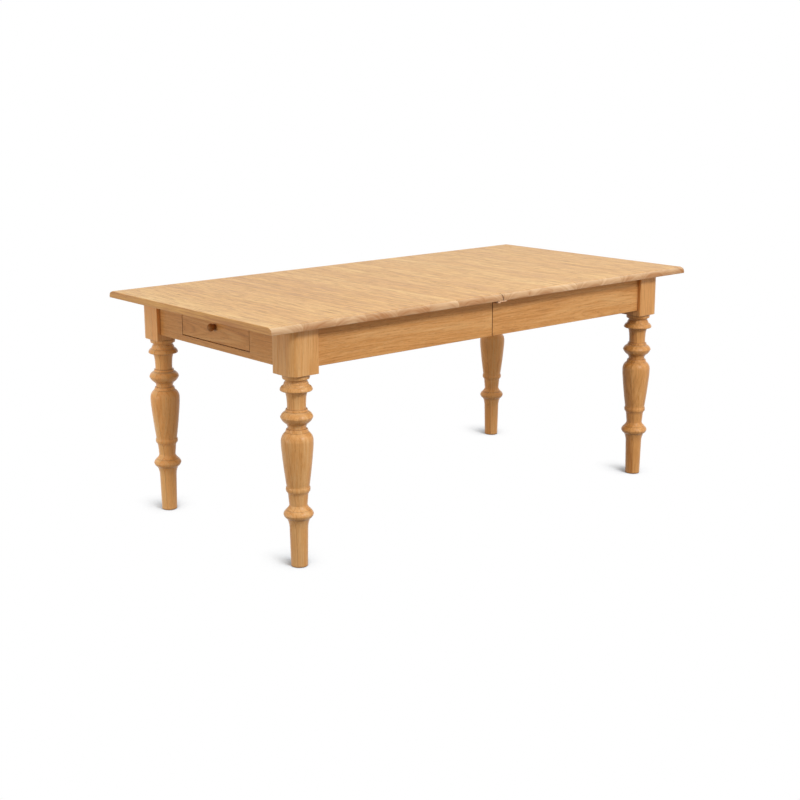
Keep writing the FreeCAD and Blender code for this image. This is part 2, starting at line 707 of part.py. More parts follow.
def dovetail(face_y, reach, growth, x0, x1):
    """A dovetail along X that widens outwards from face_y."""
    root = TONGUE_ROOT_HEIGHT / 2 + growth
    tip = TONGUE_TIP_HEIGHT / 2 + growth
    end_y = face_y + reach
    z = slide_middle
    return prism_x([(face_y, z - root), (end_y, z - tip), (end_y, z + tip), (face_y, z + root)], x0, x1)


def slide_bar():
    """The bar under one half, with a dovetail groove towards the runner."""
    x0 = SLIDE_BAR_SEAM_GAP
    x1 = x0 + SLIDE_BAR_LENGTH
    bar = box(x0, x1, bar_in_y, bar_out_y, slide_bottom, underside)
    groove = dovetail(runner_out_y, TONGUE_REACH + SLIDE_CLEARANCE * 2, SLIDE_CLEARANCE, x0, x1)
    return bar.cut(groove)


def slide_screws():
    """Screws up through the bar into the top, as (screw, hole) pairs."""
    y = bar_out_y - SLIDE_SCREW_INSET
    start_z = underside - SLIDE_SCREW_IN_BAR
    x0 = SLIDE_BAR_SEAM_GAP + SLIDE_SCREW_END
    x1 = SLIDE_BAR_SEAM_GAP + SLIDE_BAR_LENGTH - SLIDE_SCREW_END
    bore = SLIDE_HEIGHT - SLIDE_SCREW_IN_BAR
    return [driven(FRAME_SCREW, V(x, y, start_z), V(0, 0, 1), bore)
            for x in spaced(SLIDE_SCREW_COUNT, x0, x1)]


def stop_pin():
    """The pin through the bar that ends its travel in the runner's slot."""
    tip_y = runner_out_y + TONGUE_REACH - STOP_PIN_REACH
    return dowel(V(stop_pin_x, tip_y, slide_middle), V(0, 1, 0), bar_out_y - tip_y, STOP_PIN_RADIUS)


def slide_runner():
    """The runner that bridges both bars, with a slot for each stop pin."""
    half = RUNNER_LENGTH / 2
    body = box(-half, half, runner_in_y, runner_out_y, slide_bottom, underside - SLIDE_CLEARANCE)
    runner = body.fuse(dovetail(runner_out_y, TONGUE_REACH, 0, -half, half))
    radius = STOP_PIN_RADIUS + SLIDE_CLEARANCE
    start_y = runner_out_y + TONGUE_REACH - STOP_SLOT_DEPTH
    travel = LEAF_LENGTH / 2
    near_end = V(stop_pin_x, start_y, slide_middle)
    far_end = V(stop_pin_x + travel, start_y, slide_middle)
    slot = box(near_end.x, far_end.x, start_y, start_y + STOP_SLOT_DEPTH,
               slide_middle - radius, slide_middle + radius)
    slot = slot.fuse([cylinder(radius, end, V(0, 1, 0), STOP_SLOT_DEPTH) for end in (near_end, far_end)])
    return runner.cut([slot, mirror_x(slot)])


# --- Seam: dowels and catches -------------------------------------------------------------------

def seam_dowels():
    """Alignment dowels that stand out of one half's seam, and both kinds of hole."""
    edge = TOP_SEAM_GAP / 2
    z = (TABLE_HEIGHT + underside) / 2
    reach = SEAM_DOWEL_SPACING * (SEAM_DOWEL_COUNT - 1) / 2
    dowels, glued, sockets = [], [], []
    for y in spaced(SEAM_DOWEL_COUNT, -reach, reach):
        start = V(edge + SEAM_DOWEL_IN, y, z)
        length = SEAM_DOWEL_IN + SEAM_DOWEL_OUT + edge
        pin = cylinder(SEAM_DOWEL_RADIUS, start, V(-1, 0, 0), length)
        tip_x = start.x - length
        dowels.append(rounded(pin, SEAM_DOWEL_ROUNDING, lambda p: near(p.x, tip_x)))
        glued.append(cylinder(SEAM_DOWEL_RADIUS + HOLE_CLEARANCE, start, V(-1, 0, 0), length))
        depth = SEAM_DOWEL_OUT + edge + SEAM_SOCKET_SPARE
        sockets.append(cylinder(SEAM_DOWEL_RADIUS + SEAM_DOWEL_CLEARANCE, V(0, y, z), V(1, 0, 0), depth))
    return dowels, glued, sockets


def catch_tongue():
    """The steel tongue under the sliding half, with its two screws."""
    half = CATCH_TONGUE_WIDTH / 2
    low = underside - CATCH_TONGUE_THICKNESS
    plate = box(-CATCH_TONGUE_OUT, CATCH_TONGUE_PLATE, catch_y - half, catch_y + half, low, underside)
    plate = rounded_along(plate, CATCH_TONGUE_ROUNDING, V(0, 0, 1), lambda p: True)
    relief = box(-CATCH_TONGUE_OUT, TOP_SEAM_GAP, catch_y - half, catch_y + half,
                 underside - CATCH_CLEARANCE, underside)
    last = CATCH_TONGUE_PLATE - CATCH_SCREW_END
    pairs = [driven(CATCH_SCREW, V(x, catch_y, low), V(0, 0, 1))
             for x in (last - CATCH_SCREW_SPACING, last)]
    return plate.cut([relief] + [hole for _, hole in pairs]), pairs


def catch_keeper():
    """The folded steel keeper on the fixed half, with its two screws, built at +X."""
    half = CATCH_TONGUE_WIDTH / 2 + CATCH_CLEARANCE
    wall = half + KEEPER_THICKNESS
    ear = wall + KEEPER_EAR
    roof = underside - CATCH_TONGUE_THICKNESS - CATCH_CLEARANCE
    low = roof - KEEPER_THICKNESS
    ear_low = underside - KEEPER_THICKNESS
    outline = [(-ear, underside), (-half, underside), (-half, roof), (half, roof), (half, underside),
               (ear, underside), (ear, ear_low), (wall, ear_low), (wall, low), (-wall, low),
               (-wall, ear_low), (-ear, ear_low)]
    x0 = KEEPER_SEAM_INSET
    keeper = prism_x([(catch_y + y, z) for y, z in outline], x0, x0 + KEEPER_LENGTH)
    offset = wall + KEEPER_EAR / 2
    pairs = [driven(CATCH_SCREW, V(x0 + KEEPER_LENGTH / 2, catch_y + side * offset, ear_low), V(0, 0, 1))
             for side in (-1, 1)]
    return keeper.cut([hole for _, hole in pairs]), pairs


# --- Drawer -------------------------------------------------------------------------------------

def drawer_tails():
    """The dovetails on the front end of the +Y drawer side."""
    pitch = DRAWER_SIDE_HEIGHT / DOVETAIL_COUNT
    x0 = drawer_front_in
    x1 = drawer_front_in + DOVETAIL_LENGTH
    narrow = DOVETAIL_NARROW / 2
    wide = narrow + DOVETAIL_FLARE
    tails = []
    for index in range(DOVETAIL_COUNT):
        z = drawer_bottom_z + pitch * (index + 0.5)
        outline = [(x0, z - narrow), (x1, z - wide), (x1, z + wide), (x0, z + narrow)]
        tails.append(prism_y(outline, drawer_side_in, drawer_half))
    return tails


def drawer_side():
    side = box(drawer_back_x, drawer_front_in, drawer_side_in, drawer_half,
               drawer_bottom_z, drawer_side_top)
    side = side.fuse(drawer_tails()).removeSplitter()
    groove = box(drawer_back_x, drawer_front_in + DOVETAIL_LENGTH, drawer_side_in,
                 drawer_side_in + DRAWER_BOTTOM_IN_GROOVE + PANEL_CLEARANCE,
                 panel_bottom - PANEL_CLEARANCE, panel_top + PANEL_CLEARANCE)
    housing = box(drawer_back_x, drawer_back_x + DRAWER_BACK_THICKNESS + PANEL_CLEARANCE,
                  drawer_side_in, drawer_side_in + DRAWER_BACK_HOUSING + PANEL_CLEARANCE,
                  panel_top, drawer_side_top)
    return side.cut([groove, housing])


def drawer_back():
    half = drawer_side_in + DRAWER_BACK_HOUSING
    return box(drawer_back_x, drawer_back_x + DRAWER_BACK_THICKNESS, -half, half,
               panel_top + PANEL_CLEARANCE, drawer_side_top)


def drawer_bottom():
    half = drawer_side_in + DRAWER_BOTTOM_IN_GROOVE
    return box(drawer_back_x, drawer_front_in + DRAWER_BOTTOM_IN_GROOVE, -half, half,
               panel_bottom, panel_top)


def knob_parts():
    """The knob, its screw from inside the drawer, and the screw's hole."""
    face = V(rail_out_x, 0, knob_z)
    outward = V(1, 0, 0)
    r, neck, base = KNOB_RADIUS, KNOB_NECK_RADIUS, KNOB_BASE_RADIUS
    ball = KNOB_LENGTH - r
    neck_end = ball - math.sqrt(r * r - neck * neck)
    waist = V(KNOB_WAIST_RADIUS, 0, (KNOB_BASE_THICKNESS + neck_end) / 2)
    edges = [Part.LineSegment(V(0, 0, 0), V(base, 0, 0)).toShape(),
             Part.LineSegment(V(base, 0, 0), V(base, 0, KNOB_BASE_THICKNESS)).toShape(),
             Part.Arc(V(base, 0, KNOB_BASE_THICKNESS), waist, V(neck, 0, neck_end)).toShape(),
             Part.Arc(V(neck, 0, neck_end), V(r, 0, ball), V(0, 0, KNOB_LENGTH)).toShape(),
             Part.LineSegment(V(0, 0, KNOB_LENGTH), V(0, 0, 0)).toShape()]
    knob = Part.Face(Part.Wire(edges)).revolve(V(0, 0, 0), V(0, 0, 1), 360)
    knob = aimed(knob, face, outward)
    inner = V(drawer_front_in, 0, knob_z)
    length = DRAWER_FRONT_THICKNESS + KNOB_SCREW_IN_KNOB
    shank = cylinder(KNOB_SCREW_RADIUS, inner, outward, length)
    head = cylinder(KNOB_SCREW_HEAD_RADIUS, inner, outward * -1, KNOB_SCREW_HEAD_HEIGHT)
    head = rounded(head, KNOB_SCREW_HEAD_ROUNDING,
                   lambda p: near(p.x, drawer_front_in - KNOB_SCREW_HEAD_HEIGHT))
    hole = cylinder(KNOB_SCREW_RADIUS + HOLE_CLEARANCE, inner, outward, length)
    return knob.cut(hole), shank.fuse(head), hole


def drawer_front(knob_hole):
    front = box(drawer_front_in, rail_out_x, -drawer_half, drawer_half, drawer_bottom_z, drawer_top_z)
    front = rounded(front, DRAWER_FRONT_ARRIS, lambda p: near(p.x, rail_out_x))
    half = drawer_side_in + DRAWER_BOTTOM_IN_GROOVE
    groove = box(drawer_front_in, drawer_front_in + DRAWER_BOTTOM_IN_GROOVE + PANEL_CLEARANCE,
                 -half, half, panel_bottom - PANEL_CLEARANCE, panel_top + PANEL_CLEARANCE)
    return front.cut(both_sides(drawer_tails()) + [groove, knob_hole])


def drawer_runner():
    """The L-shaped runner that carries and guides the +Y drawer side."""
    inner = guide_in_y - DRAWER_RUNNER_LEDGE
    outer = guide_in_y + DRAWER_RUNNER_GUIDE
    low = ledge_top - DRAWER_RUNNER_DEPTH
    high = low + DRAWER_RUNNER_HEIGHT
    outline = [(inner, low), (outer, low), (outer, high), (guide_in_y, high),
               (guide_in_y, ledge_top), (inner, ledge_top)]
    return prism_x(outline, mid_bearer_out, rail_in_x)


def runner_dowels():
    """A dowel into the end rail and one into the bearer, as (dowel, hole) pairs."""
    y = guide_in_y + DRAWER_RUNNER_GUIDE / 2
    z = (ledge_top + bearer_bottom) / 2 + DOWEL_SPACING / 2
    length = DOWEL_LENGTH
    into_rail = V(rail_in_x + RUNNER_DOWEL_IN - length, y, z)
    into_bearer = V(mid_bearer_out - RUNNER_DOWEL_IN, y, z)
    return [dowel(start, V(1, 0, 0), length, DOWEL_RADIUS) for start in (into_rail, into_bearer)]


def drawer_kicker():
    """The strip over the +Y drawer side that stops the drawer from tipping, and its screws."""
    outer = drawer_half + KICKER_OUTSET
    low = drawer_side_top + KICKER_CLEARANCE
    kicker = box(mid_bearer_out, rail_in_x, outer - KICKER_WIDTH, outer, low, underside)
    y = outer - KICKER_WIDTH / 2
    pairs = [driven(FRAME_SCREW, V(x, y, low), V(0, 0, 1))
             for x in (mid_bearer_out + KICKER_SCREW_END, rail_in_x - KICKER_SCREW_END)]
    return kicker.cut([hole for _, hole in pairs]), pairs


# --- Assembly -----------------------------------------------------------------------------------

def pieces(pairs):
    return [piece for piece, _ in pairs]


def holes_of(pairs):
    return [hole for _, hole in pairs]


def save_half(end, place, has_drawer):
    """Write every piece of one half. place puts a piece built at +X into its own end."""
    bolts, washers, nuts, bolt_holes = leg_fixing()
    brace_pairs = brace_screws()
    slide_pairs = slide_screws()
    pin, pin_hole = stop_pin()
    buttons, button_pairs = side_buttons()
    seam_pairs = bearer_dowels(seam_bearer_in, seam_bearer_out)
    mid_pairs = bearer_dowels(mid_bearer_in, mid_bearer_out)
    dowels, glued, sockets = seam_dowels()
    catch, catch_pairs = catch_keeper() if has_drawer else catch_tongue()

    leg = leg_block().fuse(aimed(turning(), V(leg_x, leg_y, 0), V(0, 0, 1))).removeSplitter()
    brace = corner_brace().cut(bolt_holes + holes_of(brace_pairs))
    rail = side_rail().cut(holes_of(brace_pairs) + holes_of(seam_pairs) + holes_of(mid_pairs))
    by_side = {
        "leg": leg.cut(bolt_holes),
        "side_rail": rail,
        "corner_brace": brace,
        "slide_bar": slide_bar().cut(holes_of(slide_pairs) + [pin_hole]),
    }
    for name, shape in by_side.items():
        save(name + "_rear_" + end, place(shape))
        save(name + "_front_" + end, place(mirror_y(shape)))

    end_pieces, end_pairs = ([], []) if has_drawer else end_buttons()
    end_holes = both_sides(holes_of(brace_pairs))
    top_holes = both_sides(holes_of(slide_pairs) + holes_of(button_pairs) + holes_of(catch_pairs))
    top_holes += holes_of(end_pairs) + (glued if has_drawer else sockets)
    frame_screws = both_sides(pieces(brace_pairs) + pieces(button_pairs)) + pieces(end_pairs)
    mid_holes = both_sides(holes_of(mid_pairs))

    if has_drawer:
        kicker, kicker_pairs = drawer_kicker()
        run_pairs = runner_dowels()
        run_holes = both_sides(holes_of(run_pairs))
        frame_screws += both_sides(pieces(kicker_pairs))
        top_holes += both_sides(holes_of(kicker_pairs))
        mid_holes += run_holes
        runner = drawer_runner().cut(holes_of(run_pairs))
        save("drawer_end_rail", place(drawer_end_rail().cut(end_holes + run_holes)))
        save("drawer_runner_rear", place(runner))
        save("drawer_runner_front", place(mirror_y(runner)))
        save("drawer_kicker_rear", place(kicker))
        save("drawer_kicker_front", place(mirror_y(kicker)))
        save("drawer_runner_dowels", [place(shape) for shape in both_sides(pieces(run_pairs))])
        save("seam_dowels", [place(shape) for shape in dowels])
    else:
        rail = end_rail().cut([groove_tool_end()] + end_holes)
        save("plain_end_rail", place(rail))

    save("half_top_" + end, place(half_top().cut(top_holes)))
    seam_holes = both_sides(holes_of(seam_pairs))
    save("seam_bearer_" + end, place(bearer(seam_bearer_in, seam_bearer_out).cut(seam_holes)))
    save("mid_bearer_" + end, place(bearer(mid_bearer_in, mid_bearer_out).cut(mid_holes)))
    cut_buttons = [button.cut(hole) for button, hole in zip(buttons, holes_of(button_pairs))]
    cut_ends = [button.cut(hole) for button, hole in zip(end_pieces, holes_of(end_pairs))]
    catch_name = "catch_keepers" if has_drawer else "catch_tongues"
    groups = {
        "leg_bolts_" + end: both_sides(bolts),
        "leg_washers_" + end: both_sides(washers),
        "leg_nuts_" + end: both_sides(nuts),
        "frame_screws_" + end: frame_screws,
        "bearer_dowels_" + end: both_sides(pieces(seam_pairs) + pieces(mid_pairs)),
        "top_buttons_" + end: both_sides(cut_buttons) + cut_ends,
        "slide_screws_" + end: both_sides(pieces(slide_pairs)),
        "slide_stop_pins_" + end: both_sides([pin]),
        catch_name: both_sides([catch]),
        "catch_screws_" + end: both_sides(pieces(catch_pairs)),
    }
    for name, shapes in groups.items():
        save(name, [place(shape) for shape in shapes])


def save_middle():
    runner = slide_runner()
    save("slide_runner_rear", runner)
    save("slide_runner_front", mirror_y(runner))


def save_drawer():
    knob, screw, knob_hole = knob_parts()
    side = drawer_side()
    save("drawer_front", mirror_x(drawer_front(knob_hole)))
    save("drawer_side_rear", mirror_x(side))
    save("drawer_side_front", mirror_x(mirror_y(side)))
    save("drawer_back", mirror_x(drawer_back()))
    save("drawer_bottom", mirror_x(drawer_bottom()))
    save("drawer_knob", mirror_x(knob))
    save("drawer_knob_screw", mirror_x(screw))


os.makedirs("parts", exist_ok=True)
save_half("left", mirror_x, True)
save_half("right", lambda shape: shape, False)
save_middle()
save_drawer()
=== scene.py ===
"""Looks for the centre-opening oak dining table: camera, light, stage and every material."""

import math

import bpy
from mathutils import Matrix, Vector


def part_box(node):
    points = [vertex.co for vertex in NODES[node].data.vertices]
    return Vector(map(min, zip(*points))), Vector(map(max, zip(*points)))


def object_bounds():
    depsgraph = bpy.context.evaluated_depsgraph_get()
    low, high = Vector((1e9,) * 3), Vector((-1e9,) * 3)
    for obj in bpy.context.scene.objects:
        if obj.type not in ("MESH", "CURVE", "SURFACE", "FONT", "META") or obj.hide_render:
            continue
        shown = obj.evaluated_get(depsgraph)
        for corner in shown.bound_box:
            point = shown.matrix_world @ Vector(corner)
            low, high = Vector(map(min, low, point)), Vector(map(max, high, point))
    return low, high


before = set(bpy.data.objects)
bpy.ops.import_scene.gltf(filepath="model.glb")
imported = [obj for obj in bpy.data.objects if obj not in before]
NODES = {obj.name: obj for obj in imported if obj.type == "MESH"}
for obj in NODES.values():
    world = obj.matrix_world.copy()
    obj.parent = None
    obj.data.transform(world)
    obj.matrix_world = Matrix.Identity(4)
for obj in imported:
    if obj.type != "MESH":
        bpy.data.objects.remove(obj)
cad_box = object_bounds()
ENDS = ("left", "right")
SIDES = ("front", "rear")

# --- Camera -------------------------------------------------------------------------------------

IMAGE_WIDTH = 800
FOCAL_LENGTH_PIXELS = 1404.9
OPTICAL_CENTRE_X_PIXEL = 364
SENSOR_WIDTH = 36.0
NEAREST_SEEN = 0.1
FARTHEST_SEEN = 100
CAMERA_PLACE = Vector((-3.2043, -3.6825, 1.4963))
CAMERA_YAW = 0.6827
CAMERA_PITCH = 0.2339
CAMERA_ROLL = -0.0085


def make_camera():
    data = bpy.data.cameras.new("camera")
    data.sensor_width = SENSOR_WIDTH
    data.lens = FOCAL_LENGTH_PIXELS * SENSOR_WIDTH / IMAGE_WIDTH
    data.shift_x = 0.5 - OPTICAL_CENTRE_X_PIXEL / IMAGE_WIDTH
    data.clip_start = NEAREST_SEEN
    data.clip_end = FARTHEST_SEEN
    camera = bpy.data.objects.new("camera", data)
    bpy.context.scene.collection.objects.link(camera)
    turn = Matrix.Rotation(-CAMERA_YAW, 4, "Z")
    tilt = Matrix.Rotation(math.pi / 2 - CAMERA_PITCH, 4, "X")
    roll = Matrix.Rotation(CAMERA_ROLL, 4, "Z")
    camera.matrix_world = Matrix.Translation(CAMERA_PLACE) @ turn @ tilt @ roll
    bpy.context.scene.camera = camera


# --- Shader graph helper ------------------------------------------------------------------------

# Where a Mix node that is set to colours has its factor, its two colours and its result.
MIX_INPUTS = (0, 6, 7)
MIX_OUTPUT = 2


def srgb(red, green, blue):
    """A linear colour from 0 to 255 display values."""
    values = [value / 255 for value in (red, green, blue)]
    linear = [v / 12.92 if v <= 0.04045 else ((v + 0.055) / 1.055) ** 2.4 for v in values]
    return (*linear, 1.0)


class Graph:
    """Adds shader nodes to a tree. A value is a number, a tuple or another node's output."""

    def __init__(self, tree):
        self.tree = tree

    def feed(self, socket, value):
        if isinstance(value, bpy.types.NodeSocket):
            self.tree.links.new(value, socket)
        elif value is not None:
            socket.default_value = value

    def add(self, kind, settings=(), **inputs):
        node = self.tree.nodes.new("ShaderNode" + kind)
        for name, value in dict(settings).items():
            setattr(node, name, value)
        for name, value in inputs.items():
            self.feed(node.inputs[name.replace("_", " ")], value)
        return node

    def math(self, operation, first, second=None, third=None):
        node = self.add("Math", {"operation": operation})
        for socket, value in zip(node.inputs, (first, second, third)):
            self.feed(socket, value)
        return node.outputs[0]

    def total(self, *terms):
        """The sum of (value, factor) terms."""
        result = 0.0
        for value, factor in terms:
            result = self.math("MULTIPLY_ADD", value, factor, result)
        return result

    def weigh(self, values, weights):
        return self.total(*zip(values, weights))

    def vector(self, operation, first, second=None):
        node = self.add("VectorMath", {"operation": operation})
        for socket, value in zip(node.inputs, (first, second)):
            self.feed(socket, value)
        return node.outputs["Value" if operation == "DOT_PRODUCT" else "Vector"]

    def scale(self, vector, factor):
        """The vector times one number."""
        return self.add("VectorMath", {"operation": "SCALE"}, Vector=vector, Scale=factor).outputs[0]

    def split(self, vector):
        return self.add("SeparateXYZ", Vector=vector).outputs

    def join(self, x, y, z):
        return self.add("CombineXYZ", X=x, Y=y, Z=z).outputs[0]

    def here(self):
        """The place on the surface in object coordinates, which ride with the piece."""
        return self.add("TexCoord").outputs["Object"]

    def fit(self, value, from_low, from_high, to_low=0.0, to_high=1.0):
        node = self.add("MapRange", Value=value)
        for name, limit in (("From Min", from_low), ("From Max", from_high),
                            ("To Min", to_low), ("To Max", to_high)):
            node.inputs[name].default_value = limit
        return node.outputs["Result"]

    def noise(self, vector, seed, detail, rough=0.5):
        node = self.add("TexNoise", {"noise_dimensions": "4D"}, Vector=vector, W=seed,
                        Scale=1.0, Detail=detail, Roughness=rough)
        return node.outputs

    def line_noise(self, value):
        node = self.add("TexNoise", {"noise_dimensions": "1D"}, W=value, Scale=1.0, Detail=1.0)
        return node.outputs["Fac"]

    def chance(self, value):
        """Three random numbers from 0 to 1 that change only with a whole number."""
        node = self.add("TexWhiteNoise", {"noise_dimensions": "1D"}, W=value)
        return self.split(node.outputs["Color"])

    def mix(self, share, first, second):
        node = self.add("Mix", {"data_type": "RGBA", "clamp_factor": True})
        for index, value in zip(MIX_INPUTS, (share, first, second)):
            self.feed(node.inputs[index], value)
        return node.outputs[MIX_OUTPUT]

    def steps(self, share, stops):
        """A colour ramp. Stops are (position, value) with a number or a colour as value."""
        node = self.add("ValToRGB", Fac=share)
        ramp = node.color_ramp
        while len(ramp.elements) < len(stops):
            ramp.elements.new(0.5)
        for element, (position, value) in zip(ramp.elements, stops):
            element.position = position
            element.color = value if isinstance(value, tuple) else (value, value, value, 1)
        return node.outputs["Color"]


def new_material(name):
    material = bpy.data.materials.new(name)
    material.use_nodes = True
    material.node_tree.nodes.clear()
    return material, Graph(material.node_tree)


def paint(material, *names):
    for name in names:
        for slot in NODES[name].material_slots:
            slot.material = material


def at_ends(*prefixes):
    """The nodes with these names in both halves of the table."""
    return [prefix + end for prefix in prefixes for end in ENDS]


def at_sides(*prefixes):
    """The nodes with these names at the front and at the rear."""
    return [prefix + side for prefix in prefixes for side in SIDES]


# --- Solid wood texture -------------------------------------------------------------------------

# Each noise in the wood: its scale per metre along and across the grain, its detail and roughness.
WOOD_NOISES = {"slow_sway": (1.3, 6.0, 1.0, 0.5), "quick_sway": (7.0, 40.0, 1.0, 0.5),
               "long_fibre": (2.6, 105.0, 2.0, 0.6), "short_fibre": (15.0, 380.0, 2.0, 0.65),
               "pore": (70.0, 1500.0, 0.0, 0.5), "cloud": (2.4, 14.0, 2.0, 0.5),
               "long_dash": (9.0, 165.0, 1.5, 0.6), "short_dash": (17.0, 310.0, 1.0, 0.6)}
SLOW_SWAY_REACH = 0.055
QUICK_SWAY_REACH = 0.005
WIDE_BANDS_PER_METRE = 32.0
NARROW_BANDS_PER_METRE = 125.0
BAND_WEIGHTS = (0.45, 0.55)
RING_WIDTH = 0.0042
RING_DRIFT = 7.0
RING_PROFILE = ((0.0, 0.35), (0.12, 0.0), (0.34, 0.6), (0.75, 1.0), (1.0, 0.35))
FIBRE_WEIGHTS = (0.55, 0.45)
PORE_RANGE = (0.54, 0.68)
# How many of the pores stay as the ring profile goes from early to late wood.
PORES_BY_RING = (0.1, 0.6, 1.0, 0.2)
DASH_RANGES = {"long_dash": (0.54, 0.66), "short_dash": (0.55, 0.66)}
DASH_WEIGHTS = (0.55, 0.75)
# The rays fan out from the pith: scales of the place along the grain, the angle and the radius.
RAY_SCALES = (42.0, 95.0, 75.0)
FLECK_RANGE = (0.60, 0.72)
WOOD_PATTERNS = ("Bands", "Rings", "Fibres", "Pores", "Dashes", "Flecks", "Clouds")


def wood_noise(g, kind, place, seed):
    along, across, detail, rough = WOOD_NOISES[kind]
    return g.noise(g.vector("MULTIPLY", place, (along, across, across)), seed, detail, rough)


def sway(g, kind, place, seed, reach):
    """A push away from the pith's line that changes slowly along the grain."""
    centred = g.vector("SUBTRACT", wood_noise(g, kind, place, seed)["Color"], (0.5, 0.5, 0.5))
    return g.vector("MULTIPLY", centred, (0.0, reach, reach))


def bent_place(g, place, seed, wave):
    """The place in wood whose grain wanders. wave is the strength of the slow bends."""
    slow = g.scale(sway(g, "slow_sway", place, seed, SLOW_SWAY_REACH), wave)
    quick = sway(g, "quick_sway", place, seed, QUICK_SWAY_REACH)
    return g.vector("ADD", g.vector("ADD", place, slow), quick)


def growth(g, radius, seed):
    """Uneven bands and the growth rings, which both follow the radius."""
    wide = g.line_noise(g.math("MULTIPLY_ADD", radius, WIDE_BANDS_PER_METRE, seed))
    narrow = g.line_noise(g.math("MULTIPLY_ADD", radius, NARROW_BANDS_PER_METRE, seed))
    turns = g.math("MULTIPLY_ADD", wide, RING_DRIFT, g.math("DIVIDE", radius, RING_WIDTH))
    return g.weigh((wide, narrow), BAND_WEIGHTS), g.steps(g.math("FRACT", turns), RING_PROFILE)


def ray_flecks(g, along, across, deep, radius, seed):
    """Pale flecks where rays reach the surface."""
    angle = g.math("ARCTAN2", across, deep)
    scaled = (g.math("MULTIPLY", *pair) for pair in zip((along, angle, radius), RAY_SCALES))
    return g.fit(g.noise(g.join(*scaled), seed, 0.0)["Fac"], *FLECK_RANGE)


def wood_group():
    """One solid wood texture. Place is metres along the grain, across and deep from the pith."""
    tree = bpy.data.node_groups.new("solid_wood", "ShaderNodeTree")
    for name, kind in (("Place", "Vector"), ("Seed", "Float"), ("Wave", "Float")):
        tree.interface.new_socket(name=name, in_out="INPUT", socket_type="NodeSocket" + kind)
    for name in WOOD_PATTERNS:
        tree.interface.new_socket(name=name, in_out="OUTPUT", socket_type="NodeSocketFloat")
    g = Graph(tree)
    given = tree.nodes.new("NodeGroupInput")
    result = tree.nodes.new("NodeGroupOutput")
    place, seed, wave = (given.outputs[name] for name in ("Place", "Seed", "Wave"))

    def level(kind):
        return wood_noise(g, kind, place, seed)["Fac"]

    along, across, deep = g.split(bent_place(g, place, seed, wave))
    radius = g.math("SQRT", g.math("MULTIPLY_ADD", across, across, g.math("MULTIPLY", deep, deep)))
    bands, rings = growth(g, radius, seed)
    fibres = g.weigh((level("long_fibre"), level("short_fibre")), FIBRE_WEIGHTS)
    pores = g.math("MULTIPLY", g.fit(level("pore"), *PORE_RANGE), g.fit(rings, *PORES_BY_RING))
    dash_levels = (g.fit(level(kind), *limits) for kind, limits in DASH_RANGES.items())
    dashes = g.weigh(dash_levels, DASH_WEIGHTS)
    flecks = ray_flecks(g, along, across, deep, radius, seed)
    values = (bands, rings, fibres, pores, dashes, flecks, level("cloud"))
    for name, value in zip(WOOD_PATTERNS, values):
        g.feed(result.inputs[name], value)
    return tree


WOOD = wood_group()

# --- Wood surfaces ------------------------------------------------------------------------------

ALONG_X = Vector((1, 0, 0))
ALONG_Y = Vector((0, 1, 0))
ALONG_Z = Vector((0, 0, 1))

# A shade runs from 0, the dark colour, over NEUTRAL, the middle one, to 1, the pale one.
NEUTRAL = 0.5
# The usual levels of the noises and of the ring profile, which leave a shade neutral.
NOISE_LEVEL = 0.5
RING_LEVEL = 0.6
# What makes up the shade of end grain.
END_BANDS = 0.9
END_CLOUDS = 0.5
END_TONE = 1.8
# How many of the marks stay on a face with painted edge light as it turns from upright to flat.
MARKS_BY_FLATNESS = (0.4, 0.95, 0.2, 1.0)
GLUE_LINE_HALF_WIDTHS = (0.0002, 0.0007)
GLUE_LINE_STRENGTH = 0.45
# Painted shadow of the gap where the halves meet: how much of its dark line shows as a face turns from
# upright to flat.
SEAM_BY_FLATNESS = (0.85, 0.99, 0.9, 0.0)
# Painted shade in every narrow groove: ambient occlusion within this reach darkens the wood, fully at the
# low openness and not at all at the high one.
GROOVE_REACH = 0.010
GROOVE_SAMPLES = 8
GROOVE_OPENNESS = (0.3, 0.85)
FIBRE_RANGE = (0.3, 0.7)
WOOD_ROUGHNESS_SPREAD = (-0.06, 0.08)
WOOD_RELIEF = 0.0004
# What the pores, the rings and the fibres add to the height of the surface.
RELIEF_WEIGHTS = (-1.0, 0.25, 0.35)
# A glued board's own piece of the texture: how far along the grain, and how many seeds apart.
BOARD_SHIFT = 5.0
BOARD_SEEDS = 40.0

# A look holds the colours, the finish and how strongly each pattern of the wood shows. wave is how
# much the grain wanders, end_facing how far a face has to look along the grain to be end grain,
# tone how much paler the piece is, and board_tones and board_piths how much glued boards differ.
OAK = {"dark": srgb(172, 108, 48), "middle": srgb(214, 154, 88), "pale": srgb(236, 190, 130),
       "end_dark": srgb(178, 132, 84), "end_pale": srgb(232, 196, 150), "pore": srgb(132, 80, 36),
       "figure": 1.0, "rings": 0.10, "fibres": 1.3, "bands": 0.55, "clouds": 0.45, "flecks": 0.22,
       "dashes": 0.22, "pores": 0.50, "wave": 1.0, "rough": 0.46, "bump": 0.30, "specular": 0.35,
       "end_facing": (0.5, 0.9), "edge_tones": (), "tone": 0.0, "grooves": 0.0,
       "seam_half_width": 0.0, "board_tones": 0.0, "board_piths": 0.0}


def variant(look, **changes):
    return {**look, **changes}


def grain_frame(grain):
    """The directions along the grain, across it and through the board."""
    deep = ALONG_Y if abs(grain.z) > 0.5 else ALONG_Z
    return grain, deep.cross(grain), deep


def grain_place(g, grain, pith):
    """Object coordinates in the wood's own frame: along the grain, across and deep from the pith."""
    offset = g.vector("SUBTRACT", g.here(), tuple(pith))
    return [g.vector("DOT_PRODUCT", offset, tuple(axis)) for axis in grain_frame(grain)]


def facing_share(g, direction, facing_range):
    """Goes from 0 to 1 as the surface turns to face along a direction, either way."""
    normal = g.add("TexCoord").outputs["Normal"]
    facing = g.math("ABSOLUTE", g.vector("DOT_PRODUCT", normal, tuple(direction)))
    return g.fit(facing, *facing_range)


